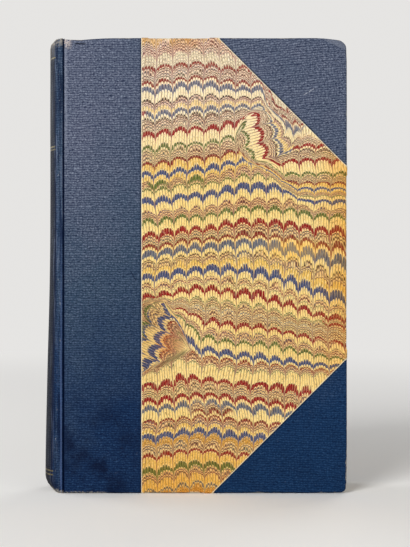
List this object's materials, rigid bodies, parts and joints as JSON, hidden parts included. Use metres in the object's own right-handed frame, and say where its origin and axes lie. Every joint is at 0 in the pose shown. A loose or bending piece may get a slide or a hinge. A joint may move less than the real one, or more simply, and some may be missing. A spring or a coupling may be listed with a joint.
{
  "type": "antique half-cloth book",
  "caption": "Old hardback book in worn blue book cloth and combed marbled paper sides, with a rounded hollow back and hinged covers that open flat.",
  "frame": {"origin": "middle of the overall box, on the level of the tail edge that the book stands on", "axes": "+Z from tail to head, +X from the spine to the fore-edge, the front cover faces -Y and the back cover +Y"},
  "size_m": [0.1488, 0.0328, 0.222],
  "materials": {
    "cloth": "blue linen-grain book cloth, rubbed to a low sheen",
    "marbled_paper": "combed marbled paper, aged, low gloss",
    "board": "grey-brown straw board, matt",
    "pages": "aged cut page edges, matt",
    "endpaper": "cream laid paper, matt",
    "mull": "open-weave cotton, glued",
    "tape": "plain linen tape",
    "stiffener": "brown paper card, matt",
    "headband": "faded sewn roll"
  },
  "bodies": {
    "block": {"text_block": "pages", "sewing_tapes": "tape", "mull": "mull", "spine_stiffener": "stiffener", "spine_cloth": "cloth", "headband_head": "headband", "headband_tail": "headband", "front_flyleaf": "endpaper", "back_flyleaf": "endpaper"},
    "front_cover": {"front_board": "board", "front_side_paper": "marbled_paper", "front_corner_head": "cloth", "front_corner_tail": "cloth", "spine_cloth_front_side": "cloth", "mull_front_flange": "mull", "front_tape_slips": "tape", "front_pastedown": "endpaper"},
    "back_cover": {"back_board": "board", "back_side_paper": "marbled_paper", "back_corner_head": "cloth", "back_corner_tail": "cloth", "spine_cloth_back_side": "cloth", "mull_back_flange": "mull", "back_tape_slips": "tape", "back_pastedown": "endpaper"}
  },
  "joints": [
    {"name": "front_hinge", "type": "hinge", "parent": "block", "child": "front_cover", "pos_m": [-0.0636, -0.0162, 0.111], "axis": [0, 0, -1], "range_deg": [0, 180]},
    {"name": "back_hinge", "type": "hinge", "parent": "block", "child": "back_cover", "pos_m": [-0.0636, 0.0162, 0.111], "axis": [0, 0, 1], "range_deg": [0, 180]}
  ]
}
